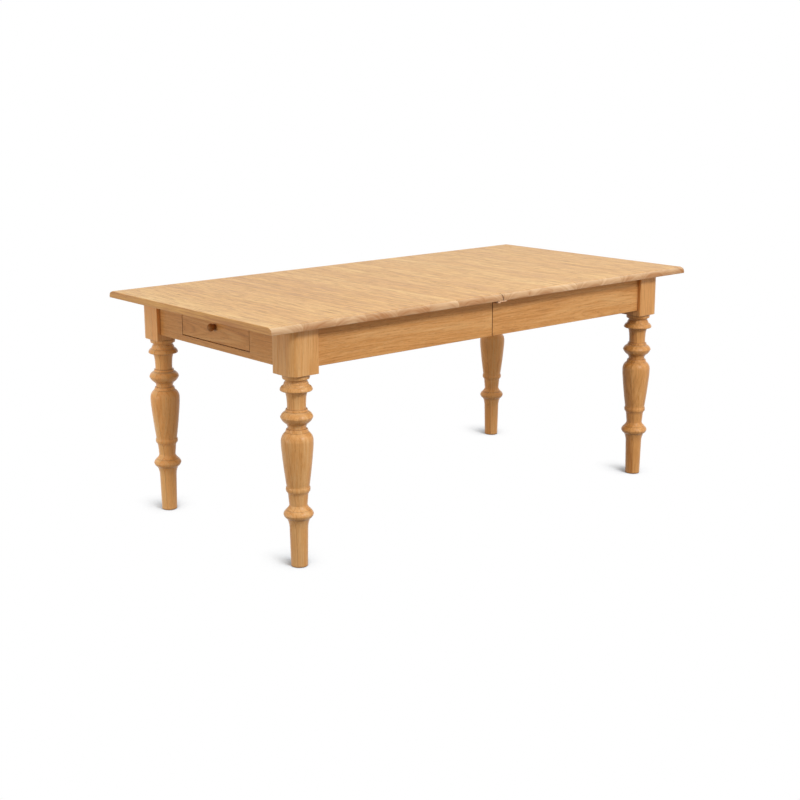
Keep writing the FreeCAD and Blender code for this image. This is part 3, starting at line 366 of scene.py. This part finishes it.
def glued_boards(g, position, joints, seed):
    """Boards side by side: the random numbers of each, its middle and its glue line."""
    number = seed
    middle = (joints[0] + joints[1]) / 2
    line = 0.0
    for low, joint, high in zip(joints, joints[1:], joints[2:]):
        past = g.math("GREATER_THAN", position, joint)
        number = g.math("ADD", number, past)
        middle = g.math("MULTIPLY_ADD", past, (high - low) / 2, middle)
        gap = g.math("ABSOLUTE", g.math("SUBTRACT", position, joint))
        line = g.math("MAXIMUM", line, g.fit(gap, *GLUE_LINE_HALF_WIDTHS, 1.0, 0.0))
    return g.chance(number), middle, line


def face_shades(g, wood, look, tone):
    """The shades of the wood along the grain and on end grain."""
    strength = look["figure"]
    usual_noise = NOISE_LEVEL * (look["bands"] + look["fibres"] + look["clouds"])
    base = NEUTRAL - strength * (usual_noise + RING_LEVEL * look["rings"])
    shade = g.math("ADD", base + look["tone"], tone)
    end_shade = g.total((wood["Bands"], END_BANDS), (wood["Clouds"], END_CLOUDS), (shade, END_TONE))
    end_base = NEUTRAL - END_TONE * base - NOISE_LEVEL * (END_BANDS + END_CLOUDS)
    end_shade = g.math("ADD", end_shade, end_base)
    for name in ("Bands", "Fibres", "Rings", "Clouds"):
        shade = g.math("MULTIPLY_ADD", wood[name], strength * look[name.lower()], shade)
    return shade, end_shade


def edge_shades(g, shade, end_shade, flat_share, look):
    """The shades with painted shade and highlight on the moulded edge, which follow how flat it lies, and
    with the lip painted paler.
    """
    long_tone, end_tone = (g.steps(flat_share, tones) for tones in look["edge_tones"])
    on_lip = g.math("GREATER_THAN", g.split(g.here())[2], look["lip_height"])
    shade = g.total((shade, 1.0), (long_tone, 1.0), (-NEUTRAL, 1.0))
    end_shade = g.total((end_shade, 1.0), (end_tone, 1.0), (on_lip, look["lip_tone"]), (-NEUTRAL, 1.0))
    return shade, end_shade


def with_marks(g, colour, wood, look, share):
    """The colour with its flecks, dashes and pores, which don't show on end grain."""
    for name, tint in (("Flecks", "pale"), ("Dashes", "pore"), ("Pores", "pore")):
        marks = g.math("MULTIPLY", g.math("MULTIPLY", wood[name], look[name.lower()]), share)
        colour = g.mix(marks, colour, look[tint])
    return colour


def with_grooves(g, colour, look):
    """The colour with painted shade, in the pore colour, in narrow hollows and where other wood closes
    in.
    """
    openness = g.add("AmbientOcclusion", {"samples": GROOVE_SAMPLES}, Distance=GROOVE_REACH).outputs["AO"]
    return g.mix(g.fit(openness, *GROOVE_OPENNESS, look["grooves"], 0.0), colour, look["pore"])


def with_seam(g, colour, look, flat_share):
    """The colour with a painted shadow of the gap where the table splits: a dark line at x = 0 on upright
    faces.
    """
    half_width = look["seam_half_width"]
    away = g.math("ABSOLUTE", g.split(g.here())[0])
    line = g.fit(away, 0.5 * half_width, half_width, 1.0, 0.0)
    on_edge = g.math("MULTIPLY", line, g.fit(flat_share, *SEAM_BY_FLATNESS))
    return g.mix(on_edge, colour, look["seam"])


def wood_finish(g, colour, wood, look):
    """The shader of the coloured wood: its gloss follows the fibres, and its pores are open."""
    rough_range = (look["rough"] + change for change in WOOD_ROUGHNESS_SPREAD)
    rough = g.fit(wood["Fibres"], *FIBRE_RANGE, *rough_range)
    height = g.weigh((wood["Pores"], wood["Rings"], wood["Fibres"]), RELIEF_WEIGHTS)
    bump = g.add("Bump", Strength=look["bump"], Distance=WOOD_RELIEF, Height=height)
    shader = g.add("BsdfPrincipled", Base_Color=colour, Roughness=rough, Normal=bump.outputs[0])
    shader.inputs["Specular IOR Level"].default_value = look["specular"]
    g.add("OutputMaterial", Surface=shader.outputs[0])


def wood_surface(g, place, seed, look, grain, tone=0.0, glue_line=None):
    """The finished wood from a place in the wood's frame, with its board's tone and glue lines."""
    wood = g.add("Group", {"node_tree": WOOD}, Place=place, Seed=seed, Wave=look["wave"]).outputs
    flat_share = facing_share(g, ALONG_Z, (0.0, 1.0))
    end_share = facing_share(g, grain, look["end_facing"])
    marks_share = g.math("SUBTRACT", 1.0, end_share)
    shade, end_shade = face_shades(g, wood, look, tone)
    if look["edge_tones"]:
        shade, end_shade = edge_shades(g, shade, end_shade, flat_share, look)
        marks_share = g.math("MULTIPLY", marks_share, g.fit(flat_share, *MARKS_BY_FLATNESS))
    colour = g.steps(shade, ((0.0, look["dark"]), (NEUTRAL, look["middle"]), (1.0, look["pale"])))
    end_colour = g.steps(end_shade, ((0.0, look["end_dark"]), (1.0, look["end_pale"])))
    colour = with_marks(g, g.mix(end_share, colour, end_colour), wood, look, marks_share)
    if glue_line is not None:
        colour = g.mix(g.math("MULTIPLY", glue_line, GLUE_LINE_STRENGTH), colour, look["pore"])
    if look["grooves"]:
        colour = with_grooves(g, colour, look)
    if look["seam_half_width"]:
        colour = with_seam(g, colour, look, flat_share)
    wood_finish(g, colour, wood, look)


def solid_wood(name, grain, pith, seed, look):
    """A piece cut from one board."""
    material, g = new_material(name)
    wood_surface(g, g.join(*grain_place(g, grain, pith)), seed, look, grain)
    return material


def glued_wood(name, grain, side, joints, pith, seed, look):
    """A piece glued up from boards that lie side by side along the direction side."""
    material, g = new_material(name)
    along, across, deep = grain_place(g, grain, pith)
    position = g.vector("DOT_PRODUCT", g.here(), tuple(side))
    luck, middle, line = glued_boards(g, position, joints, seed)
    off_pith = g.fit(luck[0], 0.0, 1.0, -look["board_piths"], look["board_piths"])
    own = g.math("ADD", g.math("SUBTRACT", position, middle), off_pith)
    if abs(grain_frame(grain)[1].dot(side)) > 0.5:
        across = own
    else:
        deep = own
    shifted = g.join(g.math("MULTIPLY_ADD", luck[1], BOARD_SHIFT, along), across, deep)
    tone = g.fit(luck[2], 0.0, 1.0, -look["board_tones"], look["board_tones"])
    board_seed = g.math("MULTIPLY_ADD", luck[1], BOARD_SEEDS, seed)
    wood_surface(g, shifted, board_seed, look, grain, tone, line)
    return material


# --- Metal --------------------------------------------------------------------------------------

PATCH_SCALE = (160.0, 160.0, 160.0)
PATCH_SEED = 3.0
PATCH_RANGE = (0.3, 0.7)
BRUSH_SEED = 7.0
METAL_DETAIL = 2.0
PATCH_AND_BRUSH_WEIGHTS = (0.6, 0.4)
DULL_SHARE = 0.72
STEEL_ROUGHNESS_SPREAD = (-0.08, 0.10)
BRUSH_STRENGTH = 0.25
BRUSH_RELIEF = 0.0001


def steel(name, colour, rough, brush_scale):
    """Zinc-plated steel with soft cloudy patches and fine lines."""
    material, g = new_material(name)
    patches = g.noise(g.vector("MULTIPLY", g.here(), PATCH_SCALE), PATCH_SEED, METAL_DETAIL)["Fac"]
    lines = g.noise(g.vector("MULTIPLY", g.here(), brush_scale), BRUSH_SEED, METAL_DETAIL)["Fac"]
    shade = g.weigh((patches, lines), PATCH_AND_BRUSH_WEIGHTS)
    dull = (*(DULL_SHARE * part for part in colour[:3]), 1.0)
    tint = g.steps(shade, tuple(zip(PATCH_RANGE, (dull, colour))))
    rough_range = (rough + change for change in STEEL_ROUGHNESS_SPREAD)
    roughness = g.fit(patches, *PATCH_RANGE, *rough_range)
    bump = g.add("Bump", Strength=BRUSH_STRENGTH, Distance=BRUSH_RELIEF, Height=lines)
    shader = g.add("BsdfPrincipled", Base_Color=tint, Roughness=roughness, Normal=bump.outputs[0])
    shader.inputs["Metallic"].default_value = 1.0
    g.add("OutputMaterial", Surface=shader.outputs[0])
    return material


# --- Stage and light ----------------------------------------------------------------------------

AMBIENT_AT_HORIZON = 0.36
AMBIENT_OVERHEAD = 0.96
AMBIENT_COLOUR = (1.0, 0.945, 0.87, 1.0)
LAMPS = {
    "key": {"place": (0.1, -4.2, 3.5), "power": 110, "size": 1.0, "colour": (1.0, 0.99, 0.97)},
    "left_fill": {"place": (-4.6, 0.9, 0.9), "power": 39, "size": 1.5, "colour": (1.0, 0.90, 0.77)},
    "low_fill": {"place": (3.0, -4.6, 0.55), "power": 33, "size": 1.4, "colour": (1.0, 0.91, 0.79)},
}
LAMP_AIM = (0.0, 0.0, 0.6)
WHITE = (1.0, 1.0, 1.0, 1.0)
FLOOR_HALF_SIZE = 30.0
FLOOR_DROP = 0.0005
FLOOR_BOUNCE = (0.18, 0.17, 0.155, 1)
SHADED_FLOOR = (0.72, 0.81, 0.93, 1)
# A point on the floor is in a foot's shadow when both of these ways out of it meet that leg.
SHADOW_WAYS = ((-2.4, -0.6, 0.0), (1.6, -1.9, 0.0))
SHADOW_REACH = 0.17
SHADOW_SAMPLES = 16
SHADOW_COVER = (0.045, 0.165)


def seen_directly(g):
    """1 for camera, glossy and transmission rays, which see the plain white background."""
    path = g.add("LightPath").outputs
    bent = g.math("MAXIMUM", path["Is Glossy Ray"], path["Is Transmission Ray"])
    return g.math("MAXIMUM", path["Is Camera Ray"], bent)


def mixed_shader(g, share, first, second):
    """The first shader where the share is 0, and the second where it is 1."""
    node = g.add("MixShader", Fac=share)
    g.feed(node.inputs[1], first.outputs[0])
    g.feed(node.inputs[2], second.outputs[0])
    return node


def make_world():
    world = bpy.data.worlds.new("studio")
    world.use_nodes = True
    world.node_tree.nodes.clear()
    g = Graph(world.node_tree)
    height = g.split(g.add("TexCoord").outputs["Generated"])[2]
    strength = g.fit(height, 0.0, 1.0, AMBIENT_AT_HORIZON, AMBIENT_OVERHEAD)
    ambient = g.add("Background", Color=AMBIENT_COLOUR, Strength=strength)
    white = g.add("Background", Color=WHITE, Strength=1.0)
    either = mixed_shader(g, seen_directly(g), ambient, white)
    g.add("OutputWorld", Surface=either.outputs[0])
    bpy.context.scene.world = world


def foot_shadow_share(g):
    """How much of the floor's own shading shows: only close behind the feet, wherever they stand."""
    up = g.add("TexCoord").outputs["Normal"]
    covers = []
    for way in SHADOW_WAYS:
        leaned = g.vector("NORMALIZE", g.vector("ADD", up, way))
        near = g.add("AmbientOcclusion", {"samples": SHADOW_SAMPLES},
                     Normal=leaned, Distance=SHADOW_REACH)
        covers.append(g.math("SUBTRACT", 1.0, near.outputs["AO"]))
    cover = g.math("SQRT", g.math("MULTIPLY", *covers))
    return g.fit(cover, *SHADOW_COVER)


def make_floor():
    half = FLOOR_HALF_SIZE
    mesh = bpy.data.meshes.new("floor")
    corners = [(-half, -half, 0), (half, -half, 0), (half, half, 0), (-half, half, 0)]
    mesh.from_pydata(corners, [], [(0, 1, 2, 3)])
    floor = bpy.data.objects.new("floor", mesh)
    floor.location.z = -FLOOR_DROP
    bpy.context.scene.collection.objects.link(floor)
    material, g = new_material("floor_white")
    bounce = g.add("BsdfDiffuse", Color=FLOOR_BOUNCE)
    shaded = g.add("BsdfDiffuse", Color=SHADED_FLOOR)
    glow = g.add("Emission", Color=WHITE, Strength=1.0)
    white = mixed_shader(g, foot_shadow_share(g), glow, shaded)
    surface = mixed_shader(g, seen_directly(g), bounce, white)
    g.add("OutputMaterial", Surface=surface.outputs[0])
    mesh.materials.append(material)


def make_lamps():
    for name, lamp in LAMPS.items():
        data = bpy.data.lights.new(name, "AREA")
        data.size = lamp["size"]
        data.energy = lamp["power"]
        data.color = lamp["colour"]
        item = bpy.data.objects.new(name, data)
        item.location = lamp["place"]
        item.rotation_mode = "QUATERNION"
        aim = Vector(LAMP_AIM) - Vector(lamp["place"])
        item.rotation_quaternion = aim.to_track_quat("-Z", "Y")
        bpy.context.scene.collection.objects.link(item)


# --- Looks of the pieces ------------------------------------------------------------------------

# Painted shade and highlight on the top's moulded edge, by how flat it lies from upright to level: darker
# as it turns upright, and on end grain paler near the top of its rounding.
END_GRAIN_TONES = ((0.0, 0.18), (0.30, 0.20), (0.60, 0.34), (0.84, 0.50), (0.94, 0.60), (1.0, 0.95))
LONG_GRAIN_TONES = ((0.0, 0.20), (0.30, 0.18), (0.50, 0.10), (0.72, 0.0), (0.88, 0.28), (0.96, 0.50))
# The lip above the moulding reaches this far down from the top. Its end grain is painted paler: painted
# light on a step that the lamps light less than the top.
LIP_DEPTH = 0.0018
LIP_HEIGHT = cad_box[1].z - LIP_DEPTH

TOP_OAK = variant(OAK, dark=srgb(190, 130, 70), middle=srgb(230, 178, 103), pale=srgb(247, 211, 142),
                  end_dark=srgb(171, 117, 66), end_pale=srgb(234, 204, 164), end_facing=(0.08, 0.3),
                  pore=srgb(176, 120, 50), seam=srgb(92, 54, 20), rough=0.42, specular=0.45,
                  bands=0.45, clouds=0.25, fibres=2.4, rings=0.12, dashes=0.95, bump=0.12,
                  edge_tones=(LONG_GRAIN_TONES, END_GRAIN_TONES), lip_height=LIP_HEIGHT, lip_tone=0.5,
                  seam_half_width=0.0034, board_tones=0.11, board_piths=0.06)
# The legs get painted shade in every narrow groove.
LEG_OAK = variant(OAK, dark=srgb(178, 114, 52), middle=srgb(224, 164, 98), pale=srgb(242, 200, 144),
                  rough=0.30, specular=0.26, grooves=0.8, pores=0.3, rings=0.05, fibres=1.2,
                  bands=0.7, dashes=0.08, end_facing=(0.7, 1.0), board_tones=0.13, board_piths=0.04)
# Painted light: the rear legs, which the top shades from the key lamp, are given paler colours.
REAR_LEG_OAK = variant(LEG_OAK, dark=srgb(212, 136, 68), middle=srgb(251, 182, 109),
                       pale=srgb(254, 209, 148))
# Painted shade in the seam gap: the rails' end grain, which faces across the gap between the halves, is
# given a dark brown.
RAIL_OAK = variant(OAK, middle=srgb(217, 157, 93), pale=srgb(238, 193, 136), specular=0.2,
                   end_dark=srgb(112, 66, 30), end_pale=srgb(140, 88, 44), seam=srgb(84, 46, 16),
                   seam_half_width=0.0021)
DRAWER_OAK = variant(OAK, wave=1.3, rings=0.2, bands=0.9)
KNOB_OAK = variant(OAK, dark=srgb(126, 76, 32), middle=srgb(168, 110, 54), pale=srgb(198, 140, 78),
                   end_dark=srgb(142, 90, 42), end_pale=srgb(190, 132, 72), rough=0.5, specular=0.25)
PLAIN_OAK = variant(OAK, rough=0.66, specular=0.3, dark=srgb(168, 116, 66), middle=srgb(204, 156, 100),
                    pale=srgb(226, 186, 134))
BEECH = variant(OAK, dark=srgb(184, 128, 84), middle=srgb(213, 164, 116), pale=srgb(230, 190, 146),
                pore=srgb(150, 98, 60), pores=0.25, dashes=0.2, flecks=0.35, figure=0.7, rough=0.55)
DRAWER_BEECH = variant(BEECH, figure=0.6)
PANEL = variant(BEECH, middle=srgb(218, 178, 128), figure=0.9)

# Glue lines of the top, in metres from the seam.
TOP_JOINTS = {"left": (-0.812, -0.693, -0.574, -0.452, -0.322, -0.196, -0.083),
              "right": (0.118, 0.232, 0.351, 0.470, 0.580, 0.688, 0.806)}
TOP_PITH_DEPTH = 0.085
TOP_SEEDS = {"left": 3.0, "right": 23.0}

# Each leg is glued up from three staves. The outer glue lines lie this far from its axis.
STAVE_JOINT = 0.017
LEG_PITH_OFFSET = 0.055
LEG_SEEDS = {"front_left": 101.0, "rear_left": 106.0, "front_right": 111.0, "rear_right": 116.0}
# Painted light and shade: each leg's tone is shifted to make up for how much lamp light reaches it.
LEG_LOOKS = {"front_left": variant(LEG_OAK, tone=0.12), "front_right": variant(LEG_OAK, tone=-0.14),
             "rear_left": variant(REAR_LEG_OAK, tone=0.12), "rear_right": REAR_LEG_OAK}

# The pith of a rail lies below its middle, and nearer to the middle of the table by a share.
SIDE_RAIL_SEEDS = {"front_left": 151.0, "rear_left": 154.0, "front_right": 158.0, "rear_right": 161.0}
SIDE_RAIL_PITH_DEPTHS = {"left": 0.16, "right": 0.07}
SIDE_RAIL_WAVES = {"left": 0.7, "right": 1.5}
SIDE_RAIL_PITH_SHARE = 0.6
END_RAIL_SEEDS = {"drawer_end_rail": 171.0, "plain_end_rail": 177.0}
END_RAIL_PITH_DEPTH = 0.13
END_RAIL_PITH_SHARE = 0.9

# How far behind the drawer's outer face the pith of a piece lies, and how high.
DRAWER_FRONT_PITH = 0.05
DRAWER_FRONT_PITH_DROP = 0.01
DRAWER_BOTTOM_PITH = 0.1
DRAWER_BOTTOM_PITH_HEIGHT = 0.57
DRAWER_BACK_PITH = 0.5
DRAWER_BOX_PITH_HEIGHT = 0.60
KNOB_PITH_OFFSET = 0.02
DRAWER_SEEDS = {"front": 191.0, "knob": 193.0, "sides": 195.0, "back": 197.0, "bottom": 199.0}

# Woods of the frame under the top: the direction of the grain, a point of the pith's line, the
# seed, the look and the nodes.
DIAGONAL = Vector((1, 1, 0)).normalized()
COUNTER_DIAGONAL = Vector((1, -1, 0)).normalized()
FRAME_WOODS = {
    "brace_wood_a": (DIAGONAL, (0.0, 0.0, 0.61), 211.0, PLAIN_OAK,
                     ("corner_brace_front_right", "corner_brace_rear_left")),
    "brace_wood_b": (COUNTER_DIAGONAL, (0.0, 0.0, 0.61), 211.0, PLAIN_OAK,
                     ("corner_brace_front_left", "corner_brace_rear_right")),
    "bearer_wood": (ALONG_Y, (0.02, 0.0, 0.60), 215.0, PLAIN_OAK, at_ends("seam_bearer_", "mid_bearer_")),
    "slide_wood": (ALONG_X, (0.0, 0.02, 0.66), 219.0, BEECH,
                   at_sides("slide_runner_") + at_ends("slide_bar_front_", "slide_bar_rear_")),
    "guide_wood": (ALONG_X, (0.0, 0.0, 0.60), 223.0, BEECH, at_sides("drawer_runner_", "drawer_kicker_")),
    "button_wood": (ALONG_Y, (0.01, 0.0, 0.70), 227.0, PLAIN_OAK, at_ends("top_buttons_")),
    "dowel_wood_y": (ALONG_Y, (0.0, 0.0, 0.64), 231.0, BEECH, at_ends("bearer_dowels_")),
    "dowel_wood_x": (ALONG_X, (0.0, 0.0, 0.74), 233.0, BEECH, ("seam_dowels", "drawer_runner_dowels")),
}

ZINC_COLOUR = srgb(196, 194, 188)
ZINC_ROUGHNESS = 0.38
ZINC_BRUSH_SCALE = (900.0, 900.0, 120.0)
# Painted reflection: the catch's warm brown stands in for the oak that it reflects beneath the top.
CATCH_COLOUR = srgb(190, 154, 124)
CATCH_ROUGHNESS = 0.40
CATCH_BRUSH_SCALE = (60.0, 1500.0, 1500.0)


# --- Dressing -----------------------------------------------------------------------------------

def dress_tops():
    for end in ENDS:
        node = "half_top_" + end
        low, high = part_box(node)
        outer = low.x if end == "left" else high.x
        joints = sorted((outer, 0.0, *TOP_JOINTS[end]))
        pith = (0.0, 0.0, high.z - TOP_PITH_DEPTH)
        seed = TOP_SEEDS[end]
        paint(glued_wood("oak_top_" + end, ALONG_Y, ALONG_X, joints, pith, seed, TOP_OAK), node)


def dress_leg(corner):
    node = "leg_" + corner
    low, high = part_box(node)
    centre = (low + high) / 2
    joints = (low.y, centre.y - STAVE_JOINT, centre.y + STAVE_JOINT, high.y)
    pith = (centre.x + LEG_PITH_OFFSET, centre.y, 0.0)
    look = LEG_LOOKS[corner]
    paint(glued_wood("oak_" + node, ALONG_Z, ALONG_Y, joints, pith, LEG_SEEDS[corner], look), node)


def dress_side_rail(side, end):
    corner = side + "_" + end
    node = "side_rail_" + corner
    low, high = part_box(node)
    centre = (low + high) / 2
    pith = (0.0, centre.y * SIDE_RAIL_PITH_SHARE, centre.z - SIDE_RAIL_PITH_DEPTHS[end])
    look = variant(RAIL_OAK, wave=SIDE_RAIL_WAVES[end])
    paint(solid_wood("oak_" + node, ALONG_X, pith, SIDE_RAIL_SEEDS[corner], look), node)


def dress_corners():
    for end in ENDS:
        for side in SIDES:
            dress_leg(side + "_" + end)
            dress_side_rail(side, end)


def dress_end_rails():
    for node, seed in END_RAIL_SEEDS.items():
        low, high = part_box(node)
        centre = (low + high) / 2
        pith = (centre.x * END_RAIL_PITH_SHARE, 0.0, centre.z - END_RAIL_PITH_DEPTH)
        paint(solid_wood("oak_" + node, ALONG_Y, pith, seed, OAK), node)


def dress_drawer():
    low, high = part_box("drawer_front")
    pith = (low.x + DRAWER_FRONT_PITH, 0.0, (low.z + high.z) / 2 - DRAWER_FRONT_PITH_DROP)
    front = solid_wood("oak_drawer_front", ALONG_Y, pith, DRAWER_SEEDS["front"], DRAWER_OAK)
    paint(front, "drawer_front")
    knob_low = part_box("drawer_knob")[0]
    pith = (0.0, knob_low.y - KNOB_PITH_OFFSET, knob_low.z)
    paint(solid_wood("oak_knob", ALONG_X, pith, DRAWER_SEEDS["knob"], KNOB_OAK), "drawer_knob")
    pith = (0.0, 0.0, DRAWER_BOX_PITH_HEIGHT)
    sides = solid_wood("drawer_side_wood", ALONG_X, pith, DRAWER_SEEDS["sides"], DRAWER_BEECH)
    paint(sides, *at_sides("drawer_side_"))
    pith = (low.x + DRAWER_BACK_PITH, 0.0, DRAWER_BOX_PITH_HEIGHT)
    back = solid_wood("drawer_back_wood", ALONG_Y, pith, DRAWER_SEEDS["back"], DRAWER_BEECH)
    paint(back, "drawer_back")
    pith = (low.x + DRAWER_BOTTOM_PITH, 0.0, DRAWER_BOTTOM_PITH_HEIGHT)
    bottom = solid_wood("drawer_panel", ALONG_Y, pith, DRAWER_SEEDS["bottom"], PANEL)
    paint(bottom, "drawer_bottom")


def dress_inner_frame():
    for name, (grain, pith, seed, look, nodes) in FRAME_WOODS.items():
        paint(solid_wood(name, grain, pith, seed, look), *nodes)


def dress_metal():
    zinc = steel("zinc_steel", ZINC_COLOUR, ZINC_ROUGHNESS, ZINC_BRUSH_SCALE)
    catch = steel("catch_steel", CATCH_COLOUR, CATCH_ROUGHNESS, CATCH_BRUSH_SCALE)
    paint(zinc, *at_ends("leg_bolts_", "leg_washers_", "leg_nuts_", "frame_screws_", "slide_screws_"))
    paint(zinc, *at_ends("slide_stop_pins_", "catch_screws_"), "drawer_knob_screw")
    paint(catch, "catch_keepers", "catch_tongues")


bpy.context.scene.view_settings.view_transform = "Standard"
make_camera()
make_world()
make_floor()
make_lamps()
dress_tops()
dress_corners()
dress_end_rails()
dress_drawer()
dress_inner_frame()
dress_metal()
